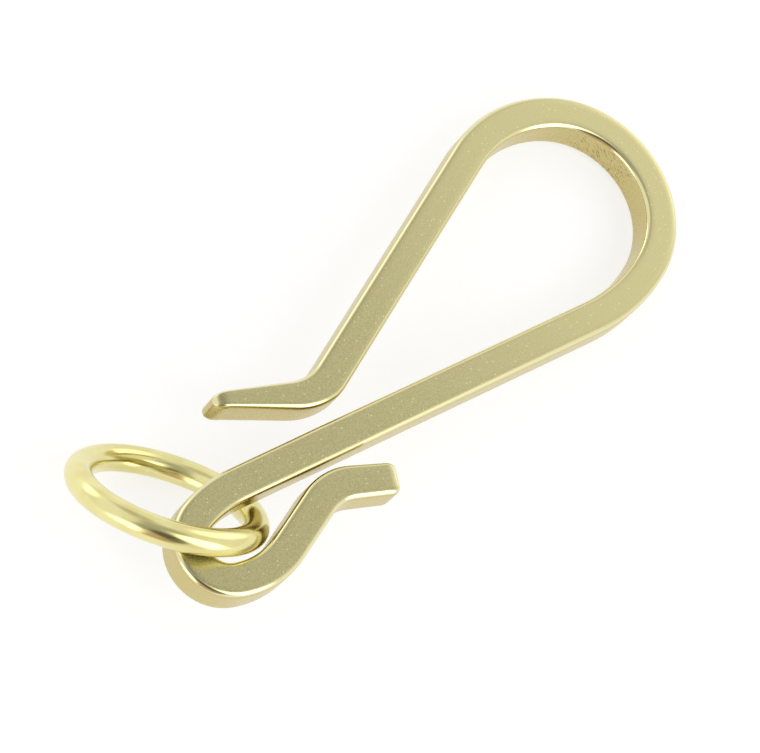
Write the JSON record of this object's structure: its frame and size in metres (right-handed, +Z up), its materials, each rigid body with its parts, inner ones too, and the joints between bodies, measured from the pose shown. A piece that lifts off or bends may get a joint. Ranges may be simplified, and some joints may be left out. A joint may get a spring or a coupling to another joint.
{
  "type": "double-ended key hook with ring",
  "caption": "Flat-sided brass bar bent into an open tear-drop loop and a small bend, with a round key ring hanging in the bend.",
  "frame": {"origin": "on the table, under the middle of the whole part's bounding box", "axes": "+X along the hook's long straight, from the ring to the large loop; +Y in the plane of the table, from the long straight to the loop's arm; +Z up"},
  "size_m": [0.085, 0.0388, 0.0188],
  "materials": {
    "tumbled_brass": "satin",
    "polished_brass": "polished"
  },
  "bodies": {
    "hook": {"hook": "tumbled_brass"},
    "ring": {"ring": "polished_brass"}
  },
  "joints": [
    {"name": "ring_swing", "type": "hinge", "parent": "hook", "child": "ring", "pos_m": [-0.0262, -0.01289, 0.0111], "axis": [-0.3392, 0.9397, 0.044], "range_deg": [0, 90]}
  ]
}
